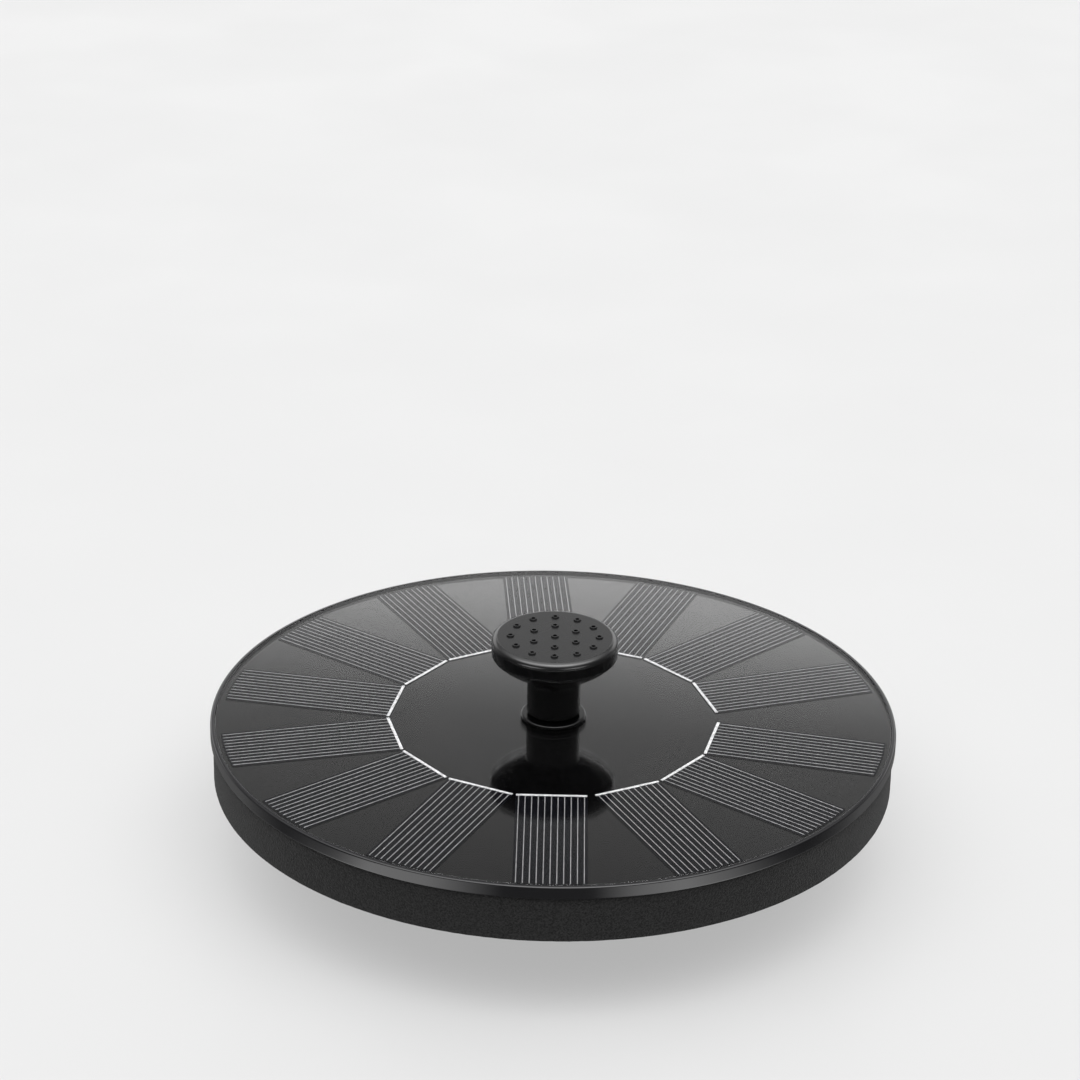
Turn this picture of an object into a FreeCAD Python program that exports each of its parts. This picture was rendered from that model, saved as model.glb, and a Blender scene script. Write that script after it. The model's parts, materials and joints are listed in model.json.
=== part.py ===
import FreeCAD, Part
import math
import os

# Solar fountain pump: a round floating solar panel with a small submersible pump under it and
# a spray head above it. Millimetres. The origin is under the middle of the disc, on the plane
# of the pump's foot. +Z points up through the spray head, and +Y to the pump's potted rear end.

V = FreeCAD.Vector
Y_AXIS = V(0, 1, 0)
Z_AXIS = V(0, 0, 1)

# ---- panel ----
DISC_D = 160.0  # tray's outside diameter
RIM_W = 1.0
RIM_EDGE_R = 0.5
TRAY_FLOOR = 1.3
BOARD_T = 1.0
CELL_T = 0.2
RIBBON_T = 0.1
COVER_T = 0.6
PANEL_GAP = 0.1  # round the board and the cover, inside the rim
CELL_MARGIN = 1.3  # from a cell's outer end to the board's edge
CELL_W = 16.3
CELL_COUNT = 14
CELLS_RIGHT = 3  # cells on the right of the front one, up to the string's wide gap
CELL_PITCH = 25.15  # degrees
CELL_CORNER_GAP = 0.39  # between neighbours' inner corners
FRONT_SPLIT = 1.6  # degrees added between the front cell and those on its right
RIBBON_W = 0.65
RIBBON_SET_IN = 0.1
RIBBON_END_GAP = 0.15

# ---- float ----
FOAM_H = 10.8
FOAM_INSET = 0.6  # under the rim
FOAM_CLEAR = 6.9  # from the pump's furthest corner to the ring's hole

# ---- rotor and shaft, on the pump's axis along Y ----
SHAFT_D = 2.0
SHAFT_RUN_GAP = 0.05
SHAFT_END_GAP = 0.2
BUSH_WALL = 1.55
MAGNET_D = 11.0
MAGNET_L = 14.0
MAGNET_SET_BACK = 1.0  # behind the chamber's rear wall
ROTOR_GAP = 0.5  # radial, in the well
ROTOR_END_GAP = 1.0
IMPELLER_D = 16.4
IMPELLER_PLATE_T = 1.2
IMPELLER_HUB_R = 3.0
IMPELLER_NECK_R = 5.0
BLADE_COUNT = 6
BLADE_T = 1.0
BLADE_FRONT_GAP = 1.0
PLATE_REAR_GAP = 0.8

# ---- pump housing ----
CHAMBER_GAP = 0.8  # from the impeller to the chamber's wall
CHAMBER_W = 8.0
PARTITION_T = 1.5
WELL_WALL = 1.0
WELL_END_WALL = 1.2
HOUSING_WALL = 2.4
HOUSING_EDGE_R = 3.0
COVER_LEDGE = 1.6
CHAMBER_COVER_T = 3.0
SPIGOT_WALL = 1.05
SPIGOT_L = 4.0
SPOUT_BORE_D = 5.0
SPOUT_WALL = 1.5
SPOUT_SET_BACK = 2.0  # from the housing's front face to the spout
SPOUT_BELOW_FLARE = 0.5
NECK_H = 2.8  # from the housing's top to the tray
NECK_FLANGE_T = 1.0
FOOT_T = 1.2
FOOT_MARGIN = 3.5
FOOT_CORNER_R = 4.0
FOOT_SHORT = 1.2  # the foot stops this far behind the filter cover's front

# ---- chamber cover ----
COVER_FIT = 0.05
EYE_R = 5.2
EYE_HUB_R = 2.9
EYE_ARMS = 3
EYE_ARM_W = 1.4
FRONT_BUSH_R = 1.9
FRONT_BUSH_L = 2.0
FRONT_BUSH_SET_IN = 0.6
RING_D = 1.1  # chamber seal's section
GROOVE_SLACK = 0.05

# ---- rear bush ----
REAR_BUSH_R = 2.5
REAR_BUSH_L = 1.8

# ---- stator and driver ----
TOOTH_GAP = 0.1
TOOTH_L = 2.9
TOOTH_W = 3.0
TOOTH_COUNT = 4
YOKE_T = 2.0
STACK_L = 9.0
STATOR_FIT = 0.1
COIL_T = 1.6
COIL_OVERHANG = 1.4
COIL_CLEAR = 0.05  # round the tooth
COIL_YOKE_GAP = 0.1
COIL_TIP_GAP = 0.8
SENSOR_GAP = 0.2
SENSOR_SIZE = (4.0, 1.2, 3.0)
SENSOR_RISE = 8.6  # above the axis
DRIVER_T = 1.0
DRIVER_GAP = 0.3
CHIP_SIZE = (5.0, 1.0, 4.0)
CAPACITOR_R = 1.5
CAPACITOR_H = 2.2
PARTS_ROOM = 3.1
POTTING_T = 3.5

# ---- lead wires ----
WIRE_D = 1.2
WIRE_SPACING = 2.6
WIRE_RISE = 6.5  # lower ends, above the axis
WIRE_HOLE_R = 2.4
TURRET_WALL = 1.6

# ---- filter cover ----
FOOT_CLEAR = 0.3
TOP_CLEAR = 0.5
CUP_FIT = 0.15
CUP_WALL = 1.2
CUP_FRONT_T = 1.4
CUP_ROOM = 9.8
CUP_EDGE_R = 1.2
CUP_REAR_GAP = 0.1
SLOT_W = 1.3
SLOT_SET_BACK = 1.2  # behind the cup's front wall
SLOT_END = 1.6  # from a slot's rear end to the spigot
SLOT_COUNT = 20
FACE_SLOT_PITCH = 2.9
FACE_SLOTS = 6
FACE_SLOT_MARGIN = 2.2  # from the cup's wall to the face slots
SPONGE_T = 4.5
SPONGE_GAP = 0.4

# ---- fastening to the tray ----
BOSS_R = 3.0
BOSS_H = 6.0
BOSS_OFFSET = 4.0  # out from the housing's side
BOSS_YS = (0.0, 24.0)
EAR_T = 2.5
EAR_R = 3.5
EAR_ROOT = 1.0  # into the housing's wall
SCREW_R = 1.1
SCREW_GRIP = 4.5
SCREW_HEAD_R = 2.2
SCREW_HEAD_H = 1.4
SCREW_HOLE_CLEAR = 0.2
RECESS_W = 0.7
RECESS_SPAN = 2.8
RECESS_DEPTH = 0.6

# ---- centre collar and neck gasket ----
COLLAR_BORE_GAP = 0.1
COLLAR_WALL = 1.9
COLLAR_HOLE_GAP = 0.1
COLLAR_LAP = 1.6
COLLAR_T = 0.9
COLLAR_EDGE_R = 0.5
GASKET_GAP = 0.2
GASKET_W = 3.2

# ---- spray head ----
NOZZLE_FIT = 0.06
STEM_WALL = 2.18
STEM_FOOT_GAP = 0.5
HEAD_D = 29.4
FLARE_START = 9.6  # above the panel
FLARE_H = 4.5  # up to the shoulder
SHOULDER_H = 1.8  # up to the upright side
SIDE_H = 3.0  # up to the spray plate
SHOULDER_IN = 2.0  # from the head's side
FLARE_ROOT_R = 0.8
SHOULDER_ROUND = 4.0
HEAD_ROUND = 1.6
HEAD_WALL = 1.4
THROAT_R = 3.0
THROAT_L = 1.0
SPOUT_TOP_GAP = 0.3
INNER_SHOULDER_IN = 1.8  # from the head's inner wall
INNER_SHOULDER_RISE = 1.0
INNER_SIDE_RISE = 0.6
SEAL_H = 5.3
SEAL_D = 0.9
PLATE_T = 1.6
PLATE_EDGE_R = 1.4
SKIRT_W = 1.1
SKIRT_L = 1.6
SKIRT_FIT = 0.1
JET_R = 0.5
NUB_R = 1.0
NUB_TOP_R = 0.8
NUB_H = 0.3
INNER_JETS_R = 5.6
OUTER_JETS_IN = 1.8  # from the skirt's inside
INNER_JETS = 6
OUTER_JETS = 12

# ---- derived: across the pump's axis ----
SHAFT_R = SHAFT_D / 2
RUN_R = SHAFT_R + SHAFT_RUN_GAP
MAGNET_R = MAGNET_D / 2
BUSH_R = RUN_R + BUSH_WALL
IMPELLER_R = IMPELLER_D / 2
WELL_R = MAGNET_R + ROTOR_GAP
WELL_OUT_R = WELL_R + WELL_WALL
TOOTH_R = WELL_OUT_R + TOOTH_GAP
YOKE_IN_R = TOOTH_R + TOOTH_L
STATOR_R = YOKE_IN_R + YOKE_T
CAVITY_R = STATOR_R + STATOR_FIT
CHAMBER_R = IMPELLER_R + CHAMBER_GAP
SEAT_R = CHAMBER_R + COVER_LEDGE
SPIGOT_R = SEAT_R + SPIGOT_WALL
CUP_IN_R = SPIGOT_R + CUP_FIT
CUP_R = CUP_IN_R + CUP_WALL
HOUSING_HALF = max(CAVITY_R + HOUSING_WALL, SPIGOT_R + CUP_WALL)
AXIS_Z = max(HOUSING_HALF, FOOT_T + FOOT_CLEAR + CUP_R)
PUMP_H = AXIS_Z + max(HOUSING_HALF, CUP_R + TOP_CLEAR + NECK_FLANGE_T)

# ---- derived: along the pump's axis ----
SPOUT_BORE_R = SPOUT_BORE_D / 2
SPOUT_R = SPOUT_BORE_R + SPOUT_WALL
HOUSING_FRONT = -(SPOUT_R + SPOUT_SET_BACK)
SPIGOT_FRONT = HOUSING_FRONT - SPIGOT_L
CHAMBER_HALF = CHAMBER_W / 2
CHAMBER_COVER_FRONT = -CHAMBER_HALF - CHAMBER_COVER_T
MAGNET_FRONT = CHAMBER_HALF + MAGNET_SET_BACK
MAGNET_REAR = MAGNET_FRONT + MAGNET_L
WELL_END = MAGNET_REAR + ROTOR_END_GAP
REAR_BUSH_END = WELL_END + REAR_BUSH_L
WELL_OUT_END = REAR_BUSH_END + WELL_END_WALL
CAVITY_FRONT = CHAMBER_HALF + PARTITION_T
STACK_MID = (MAGNET_FRONT + MAGNET_REAR) / 2
DRIVER_FRONT = WELL_OUT_END + SENSOR_GAP + SENSOR_SIZE[1]
DRIVER_REAR = DRIVER_FRONT + DRIVER_T
POTTING_FRONT = DRIVER_REAR + PARTS_ROOM
HOUSING_REAR = POTTING_FRONT + POTTING_T
WIRE_Y = DRIVER_REAR + WIRE_D / 2
CUP_FRONT = SPIGOT_FRONT - CUP_ROOM - CUP_FRONT_T
SLOT_FRONT = CUP_FRONT + CUP_FRONT_T + SLOT_SET_BACK
SLOT_REAR = SPIGOT_FRONT - SLOT_END
FOOT_FRONT = CUP_FRONT + FOOT_SHORT
FOOT_HALF = HOUSING_HALF + FOOT_MARGIN
TURRET_R = WIRE_HOLE_R + TURRET_WALL

# ---- derived: heights ----
TRAY_Z = PUMP_H + NECK_H
BOARD_Z = TRAY_Z + TRAY_FLOOR
CELL_Z = BOARD_Z + BOARD_T
RIBBON_Z = CELL_Z + CELL_T
COVER_Z = RIBBON_Z + RIBBON_T
PANEL_Z = COVER_Z + COVER_T
FLARE_Z = PANEL_Z + FLARE_START
SHOULDER_Z = FLARE_Z + FLARE_H
SIDE_Z = SHOULDER_Z + SHOULDER_H
PLATE_Z = SIDE_Z + SIDE_H
SPOUT_TOP = FLARE_Z - SPOUT_BELOW_FLARE
EAR_TOP = TRAY_Z - BOSS_H
EAR_Z = EAR_TOP - EAR_T
COLLAR_TOP = PANEL_Z + COLLAR_T

# ---- derived: across the disc ----
DISC_R = DISC_D / 2
TRAY_IN_R = DISC_R - RIM_W
BOARD_R = TRAY_IN_R - PANEL_GAP
CELL_END_R = BOARD_R - CELL_MARGIN
CELL_INNER = (CELL_W + CELL_CORNER_GAP) / 2 / math.tan(math.radians(CELL_PITCH / 2))
FOAM_R = DISC_R - FOAM_INSET
FOAM_HOLE_R = math.hypot(HOUSING_HALF, HOUSING_REAR) + FOAM_CLEAR
COLLAR_NECK_R = SPOUT_R + COLLAR_BORE_GAP + COLLAR_WALL
CENTRE_HOLE_R = COLLAR_NECK_R + COLLAR_HOLE_GAP
COLLAR_R = CENTRE_HOLE_R + COLLAR_LAP
GASKET_IN_R = COLLAR_NECK_R + GASKET_GAP
GASKET_R = GASKET_IN_R + GASKET_W
STEM_BORE_R = SPOUT_R + NOZZLE_FIT
STEM_R = STEM_BORE_R + STEM_WALL
HEAD_R = HEAD_D / 2
HEAD_IN_R = HEAD_R - HEAD_WALL
SHOULDER_R = HEAD_R - SHOULDER_IN
INNER_SHOULDER_R = HEAD_IN_R - INNER_SHOULDER_IN
SKIRT_R = HEAD_IN_R - SKIRT_FIT
SKIRT_IN_R = SKIRT_R - SKIRT_W
OUTER_JETS_R = SKIRT_IN_R - OUTER_JETS_IN
BOSS_X = HOUSING_HALF + BOSS_OFFSET
BOSS_POINTS = [(side * BOSS_X, y) for side in (-1, 1) for y in BOSS_YS]


def cyl_z(r, z0, z1, x=0.0, y=0.0):
    return Part.makeCylinder(r, z1 - z0, V(x, y, z0), Z_AXIS)


def cyl_y(r, y0, y1, x=0.0, z=AXIS_Z):
    return Part.makeCylinder(r, y1 - y0, V(x, y0, z), Y_AXIS)


def ring_z(r_out, r_in, z0, z1):
    return cyl_z(r_out, z0, z1).cut(cyl_z(r_in, z0, z1))


def ring_y(r_out, r_in, y0, y1):
    return cyl_y(r_out, y0, y1).cut(cyl_y(r_in, y0, y1))


def block(low, high):
    size = V(*high) - V(*low)
    return Part.makeBox(size.x, size.y, size.z, V(*low))


def turned_z(points):
    """A solid of revolution about the Z axis through a closed outline of (radius, height)."""
    outline = Part.makePolygon([V(r, 0, z) for r, z in points + points[:1]])
    return Part.Face(outline).revolve(V(0, 0, 0), Z_AXIS, 360)


def round_edges(shape, radius, wanted):
    """Fillets the circular edges whose (radius, place along the axis, axis letter) is in wanted."""
    chosen = []
    for edge in shape.Edges:
        if not isinstance(edge.Curve, Part.Circle):
            continue
        for r, place, letter in wanted:
            along = getattr(edge.Curve.Center, letter)
            if abs(edge.Curve.Radius - r) < 1e-4 and abs(along - place) < 1e-4:
                chosen.append(edge)
    return shape.makeFillet(radius, chosen)


def about_axis(shape, angle):
    """Turns a shape about the pump's axis."""
    turned = shape.copy()
    turned.rotate(V(0, 0, AXIS_Z), Y_AXIS, angle)
    return turned


def group(shapes):
    return Part.makeCompound(shapes)


# ---------------- panel ----------------


def panel_tray():
    """Shallow dish with the rim, the four screw bosses and the holes for spout and leads."""
    disc = cyl_z(DISC_R, TRAY_Z, PANEL_Z)
    disc = round_edges(disc, RIM_EDGE_R, [(DISC_R, TRAY_Z, "z"), (DISC_R, PANEL_Z, "z")])
    tray = disc.cut(cyl_z(TRAY_IN_R, BOARD_Z, PANEL_Z + 1))
    tray = tray.cut(cyl_z(CENTRE_HOLE_R, TRAY_Z - 1, PANEL_Z))
    tray = tray.cut(cyl_z(WIRE_HOLE_R, TRAY_Z - 1, PANEL_Z, 0, WIRE_Y))
    for x, y in BOSS_POINTS:
        tray = tray.fuse(cyl_z(BOSS_R, EAR_TOP, TRAY_Z, x, y))
    for x, y in BOSS_POINTS:
        tray = tray.cut(cyl_z(SCREW_R, EAR_TOP, EAR_TOP + SCREW_GRIP, x, y))
    return tray


def panel_board():
    return ring_z(BOARD_R, CENTRE_HOLE_R, BOARD_Z, CELL_Z)


def panel_cover():
    return ring_z(BOARD_R, CENTRE_HOLE_R, COVER_Z, PANEL_Z)


def cell_angles():
    """Each cell's direction in degrees, from the front (-Y) towards the right (+X)."""
    right = [FRONT_SPLIT + k * CELL_PITCH for k in range(1, CELLS_RIGHT + 1)]
    left = [-k * CELL_PITCH for k in range(1, CELL_COUNT - CELLS_RIGHT)]
    return [0.0] + right + left[::-1]


def towards(shape, angle):
    """Turns a shape that was made at the front to its cell's direction."""
    turned = shape.copy()
    turned.rotate(V(0, 0, 0), Z_AXIS, angle)
    return turned


def solar_cell():
    """The front cell: a flat strip whose outer end follows the disc."""
    half = CELL_W / 2
    strip = block((-half, -BOARD_R, CELL_Z), (half, -CELL_INNER, RIBBON_Z))
    return strip.common(cyl_z(CELL_END_R, CELL_Z, RIBBON_Z))


def bus_ribbon():
    """The front cell's ribbon, across its inner end."""
    half = CELL_W / 2 - RIBBON_END_GAP
    inner = CELL_INNER + RIBBON_SET_IN
    return block((-half, -inner - RIBBON_W, RIBBON_Z), (half, -inner, COVER_Z))


def foam_ring():
    return ring_z(FOAM_R, FOAM_HOLE_R, TRAY_Z - FOAM_H, TRAY_Z)


def centre_collar():
    flange = cyl_z(COLLAR_R, PANEL_Z, COLLAR_TOP)
    flange = round_edges(flange, COLLAR_EDGE_R, [(COLLAR_R, COLLAR_TOP, "z")])
    collar = flange.fuse(cyl_z(COLLAR_NECK_R, PUMP_H, PANEL_Z))
    return collar.cut(cyl_z(SPOUT_R + COLLAR_BORE_GAP, PUMP_H, COLLAR_TOP))


def neck_gasket():
    return ring_z(GASKET_R, GASKET_IN_R, PUMP_H, TRAY_Z)


# ---------------- pump housing ----------------


def housing_outside():
    shell = block((-HOUSING_HALF, HOUSING_FRONT, 0), (HOUSING_HALF, HOUSING_REAR, PUMP_H))
    long_edges = [e for e in shell.Edges if abs(e.tangentAt(e.FirstParameter).y) > 0.99]
    shell = shell.makeFillet(HOUSING_EDGE_R, long_edges)
    foot = block((-FOOT_HALF, FOOT_FRONT, 0), (FOOT_HALF, HOUSING_REAR, FOOT_T))
    corners = [e for e in foot.Edges if abs(e.tangentAt(e.FirstParameter).z) > 0.99]
    foot = foot.makeFillet(FOOT_CORNER_R, corners)
    shell = shell.fuse(foot)
    shell = shell.fuse(cyl_y(SPIGOT_R, SPIGOT_FRONT, HOUSING_FRONT + 1))
    shell = shell.fuse(cyl_z(GASKET_R, PUMP_H - NECK_FLANGE_T, PUMP_H))
    shell = shell.fuse(cyl_z(SPOUT_R, AXIS_Z + CHAMBER_R, SPOUT_TOP))
    shell = shell.fuse(cyl_z(TURRET_R, PUMP_H - NECK_FLANGE_T, TRAY_Z, 0, WIRE_Y))
    for x, y in BOSS_POINTS:
        shell = shell.fuse(ear(x, y))
    return shell


def ear(x, y):
    """A lug from the housing's side to one of the tray's bosses."""
    inner = math.copysign(HOUSING_HALF - EAR_ROOT, x)
    low_x, high_x = sorted((inner, x))
    arm = block((low_x, y - EAR_R, EAR_Z), (high_x, y + EAR_R, EAR_TOP))
    lug = arm.fuse(cyl_z(EAR_R, EAR_Z, EAR_TOP, x, y))
    return lug.cut(cyl_z(SCREW_R + SCREW_HOLE_CLEAR, EAR_Z, EAR_TOP, x, y))


def pump_body():
    """One moulding: chamber, rotor well, stator cavity, spout, lead turret, ears and foot."""
    body = housing_outside()
    cavity = cyl_y(CAVITY_R, CAVITY_FRONT, HOUSING_REAR)
    body = body.cut(cavity.cut(cyl_y(WELL_OUT_R, CAVITY_FRONT, WELL_OUT_END)))
    body = body.cut(cyl_y(WELL_R, 0, WELL_END))
    body = body.cut(cyl_y(REAR_BUSH_R, WELL_END, REAR_BUSH_END))
    body = body.cut(cyl_y(CHAMBER_R, -CHAMBER_HALF, CHAMBER_HALF))
    body = body.cut(cyl_y(SEAT_R, SPIGOT_FRONT, -CHAMBER_HALF))
    body = body.cut(cyl_z(SPOUT_BORE_R, AXIS_Z + CHAMBER_R / 2, SPOUT_TOP))
    return body.cut(cyl_z(WIRE_HOLE_R, AXIS_Z + CHAMBER_R, TRAY_Z, 0, WIRE_Y))


def chamber_cover():
    """Plate over the impeller chamber, with the intake eye and the front shaft holder."""
    plate_r = SEAT_R - COVER_FIT
    plate = cyl_y(plate_r, CHAMBER_COVER_FRONT, -CHAMBER_HALF)
    mid = (CHAMBER_COVER_FRONT - CHAMBER_HALF) / 2
    groove_half = RING_D / 2 + GROOVE_SLACK
    groove_r = SEAT_R - RING_D - GROOVE_SLACK
    plate = plate.cut(ring_y(plate_r + 1, groove_r, mid - groove_half, mid + groove_half))
    eye = ring_y(EYE_R, EYE_HUB_R, CHAMBER_COVER_FRONT, -CHAMBER_HALF)
    half = EYE_ARM_W / 2
    arm = block(
        (-half, CHAMBER_COVER_FRONT, AXIS_Z), (half, -CHAMBER_HALF, AXIS_Z + EYE_R + 1)
    )
    for k in range(EYE_ARMS):
        eye = eye.cut(about_axis(arm, k * 360 / EYE_ARMS))
    plate = plate.cut(eye)
    bush_end = -CHAMBER_HALF - FRONT_BUSH_SET_IN - FRONT_BUSH_L
    return plate.cut(cyl_y(FRONT_BUSH_R, bush_end, -CHAMBER_HALF))


def chamber_seal():
    mid = (CHAMBER_COVER_FRONT - CHAMBER_HALF) / 2
    return Part.makeTorus(SEAT_R - RING_D / 2, RING_D / 2, V(0, mid, AXIS_Z), Y_AXIS)


def pump_screws():
    """Four screws, up through the ears into the tray's bosses."""
    screws = []
    for x, y in BOSS_POINTS:
        head = cyl_z(SCREW_HEAD_R, EAR_Z - SCREW_HEAD_H, EAR_Z, x, y)
        low = EAR_Z - SCREW_HEAD_H
        for wide, deep in ((RECESS_SPAN, RECESS_W), (RECESS_W, RECESS_SPAN)):
            recess_low = (x - wide / 2, y - deep / 2, low)
            recess_high = (x + wide / 2, y + deep / 2, low + RECESS_DEPTH)
            head = head.cut(block(recess_low, recess_high))
        screws.append(head.fuse(cyl_z(SCREW_R, EAR_Z, EAR_TOP + SCREW_GRIP, x, y)))
    return group(screws)


# ---------------- filter ----------------


def filter_cover():
    """Slotted cup that pushes over the housing's spigot and pulls off forwards."""
    cup = cyl_y(CUP_R, CUP_FRONT, HOUSING_FRONT - CUP_REAR_GAP)
    cup = round_edges(cup, CUP_EDGE_R, [(CUP_R, CUP_FRONT, "y")])
    cup = cup.cut(cyl_y(CUP_IN_R, CUP_FRONT + CUP_FRONT_T, HOUSING_FRONT))
    half = SLOT_W / 2
    slot = block(
        (-half, SLOT_FRONT, AXIS_Z + CUP_IN_R - 1), (half, SLOT_REAR, AXIS_Z + CUP_R + 1)
    )
    for k in range(SLOT_COUNT):
        cup = cup.cut(about_axis(slot, (k + 0.5) * 360 / SLOT_COUNT))
    for k in range(FACE_SLOTS):
        x = (k - (FACE_SLOTS - 1) / 2) * FACE_SLOT_PITCH
        reach = math.sqrt((CUP_IN_R - FACE_SLOT_MARGIN) ** 2 - x**2)
        low = (x - half, CUP_FRONT - 1, AXIS_Z - reach)
        high = (x + half, CUP_FRONT + CUP_FRONT_T, AXIS_Z + reach)
        cup = cup.cut(block(low, high))
    return cup


def filter_sponge():
    front = CUP_FRONT + CUP_FRONT_T + SPONGE_GAP
    return cyl_y(CUP_IN_R - SPONGE_GAP, front, front + SPONGE_T)


# ---------------- rotor ----------------


def impeller():
    """Open impeller: hub, back plate, straight blades and the neck to the magnet."""
    plate_rear = CHAMBER_HALF - PLATE_REAR_GAP
    plate_front = plate_rear - IMPELLER_PLATE_T
    blade_front = BLADE_FRONT_GAP - CHAMBER_HALF
    wheel = cyl_y(IMPELLER_R, plate_front, plate_rear)
    wheel = wheel.fuse(cyl_y(IMPELLER_HUB_R, blade_front, plate_front))
    wheel = wheel.fuse(cyl_y(IMPELLER_NECK_R, plate_rear, MAGNET_FRONT))
    half = BLADE_T / 2
    blade = block((-half, blade_front, AXIS_Z), (half, plate_front, AXIS_Z + IMPELLER_R))
    blade = blade.common(cyl_y(IMPELLER_R, blade_front, plate_front))
    for k in range(BLADE_COUNT):
        wheel = wheel.fuse(about_axis(blade, k * 360 / BLADE_COUNT))
    return wheel.cut(cyl_y(RUN_R, blade_front, MAGNET_FRONT)).removeSplitter()


def rotor_magnet():
    return ring_y(MAGNET_R, BUSH_R, MAGNET_FRONT, MAGNET_REAR)


def rotor_bush():
    return ring_y(BUSH_R, RUN_R, MAGNET_FRONT, MAGNET_REAR)


def shaft():
    front = -CHAMBER_HALF - FRONT_BUSH_SET_IN - FRONT_BUSH_L
    return cyl_y(SHAFT_R, front + SHAFT_END_GAP, REAR_BUSH_END - SHAFT_END_GAP)


def front_bush():
    rear = -CHAMBER_HALF - FRONT_BUSH_SET_IN
    return ring_y(FRONT_BUSH_R, SHAFT_R, rear - FRONT_BUSH_L, rear)


def rear_bush():
    return ring_y(REAR_BUSH_R, SHAFT_R, WELL_END, REAR_BUSH_END)


# ---------------- stator and driver ----------------


def stator_core():
    """Lamination stack: a yoke with teeth that reach in to the rotor well."""
    low = STACK_MID - STACK_L / 2
    high = STACK_MID + STACK_L / 2
    core = ring_y(STATOR_R, YOKE_IN_R, low, high)
    half = TOOTH_W / 2
    tooth = block((-half, low, AXIS_Z), (half, high, AXIS_Z + YOKE_IN_R + YOKE_T / 2))
    tooth = tooth.cut(cyl_y(TOOTH_R, low, high))
    for k in range(TOOTH_COUNT):
        core = core.fuse(about_axis(tooth, k * 360 / TOOTH_COUNT))
    return core.removeSplitter()


def stator_coils():
    """One winding round each tooth."""
    inner_half = TOOTH_W / 2 + COIL_CLEAR
    outer_half = inner_half + COIL_T
    stack_half = STACK_L / 2
    outer_r = math.sqrt((YOKE_IN_R - COIL_YOKE_GAP) ** 2 - outer_half**2)
    inner_r = TOOTH_R + COIL_TIP_GAP
    coil = block(
        (-outer_half, STACK_MID - stack_half - COIL_OVERHANG, AXIS_Z + inner_r),
        (outer_half, STACK_MID + stack_half + COIL_OVERHANG, AXIS_Z + outer_r),
    )
    window = block(
        (-inner_half, STACK_MID - stack_half - COIL_CLEAR, AXIS_Z + inner_r),
        (inner_half, STACK_MID + stack_half + COIL_CLEAR, AXIS_Z + outer_r),
    )
    coil = coil.cut(window)
    return group([about_axis(coil, k * 360 / TOOTH_COUNT) for k in range(TOOTH_COUNT)])


def driver_board():
    return cyl_y(CAVITY_R - DRIVER_GAP, DRIVER_FRONT, DRIVER_REAR)


def hall_sensor():
    wide, deep, high = SENSOR_SIZE
    low = AXIS_Z + SENSOR_RISE - high / 2
    return block((-wide / 2, DRIVER_FRONT - deep, low), (wide / 2, DRIVER_FRONT, low + high))


def board_parts():
    """The driver chip and two capacitors, on the board's rear face."""
    wide, deep, high = CHIP_SIZE
    chip = block(
        (-wide / 2, DRIVER_REAR, AXIS_Z - high / 2), (wide / 2, DRIVER_REAR + deep, AXIS_Z + high / 2)
    )
    cans = [
        cyl_y(CAPACITOR_R, DRIVER_REAR, DRIVER_REAR + CAPACITOR_H, side * wide, AXIS_Z - high)
        for side in (-1, 1)
    ]
    return group([chip] + cans)


def potting_plug():
    return cyl_y(CAVITY_R, POTTING_FRONT, HOUSING_REAR)


def lead_wires():
    """The panel's two leads, from the driver board up to the underside of the panel board."""
    low = AXIS_Z + WIRE_RISE
    return group(
        [cyl_z(WIRE_D / 2, low, BOARD_Z, side * WIRE_SPACING / 2, WIRE_Y) for side in (-1, 1)]
    )


# ---------------- spray head ----------------


def nozzle_bell():
    """Stem that turns and pulls off on the spout, flared to a wide head with an open top."""
    foot = COLLAR_TOP + STEM_FOOT_GAP
    outside = turned_z(
        [
            (0, foot),
            (STEM_R, foot),
            (STEM_R, FLARE_Z),
            (SHOULDER_R, SHOULDER_Z),
            (HEAD_R, SIDE_Z),
            (HEAD_R, PLATE_Z),
            (0, PLATE_Z),
        ]
    )
    outside = round_edges(outside, FLARE_ROOT_R, [(STEM_R, FLARE_Z, "z")])
    outside = round_edges(outside, SHOULDER_ROUND, [(SHOULDER_R, SHOULDER_Z, "z")])
    outside = round_edges(outside, HEAD_ROUND, [(HEAD_R, SIDE_Z, "z")])
    ledge = SPOUT_TOP + SPOUT_TOP_GAP
    throat_top = ledge + THROAT_L
    inside = turned_z(
        [
            (0, foot),
            (STEM_BORE_R, foot),
            (STEM_BORE_R, ledge),
            (THROAT_R, ledge),
            (THROAT_R, throat_top),
            (INNER_SHOULDER_R, SHOULDER_Z + INNER_SHOULDER_RISE),
            (HEAD_IN_R, SIDE_Z + INNER_SIDE_RISE),
            (HEAD_IN_R, PLATE_Z),
            (0, PLATE_Z),
        ]
    )
    bell = outside.cut(inside)
    groove_half = SEAL_D / 2 + GROOVE_SLACK
    mid = PANEL_Z + SEAL_H
    groove_r = STEM_BORE_R + SEAL_D + GROOVE_SLACK
    return bell.cut(ring_z(groove_r, SPOUT_R, mid - groove_half, mid + groove_half))


def nozzle_seal():
    """The o-ring in the stem's bore."""
    centre_r = STEM_BORE_R + SEAL_D / 2
    return Part.makeTorus(centre_r, SEAL_D / 2, V(0, 0, PANEL_Z + SEAL_H), Z_AXIS)


def jet_points():
    """Centres of the jets: one in the middle and two rings that start at the front."""
    points = [(0.0, 0.0)]
    for radius, count in ((INNER_JETS_R, INNER_JETS), (OUTER_JETS_R, OUTER_JETS)):
        for k in range(count):
            turn = math.radians(k * 360 / count)
            points.append((radius * math.sin(turn), -radius * math.cos(turn)))
    return points


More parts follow.
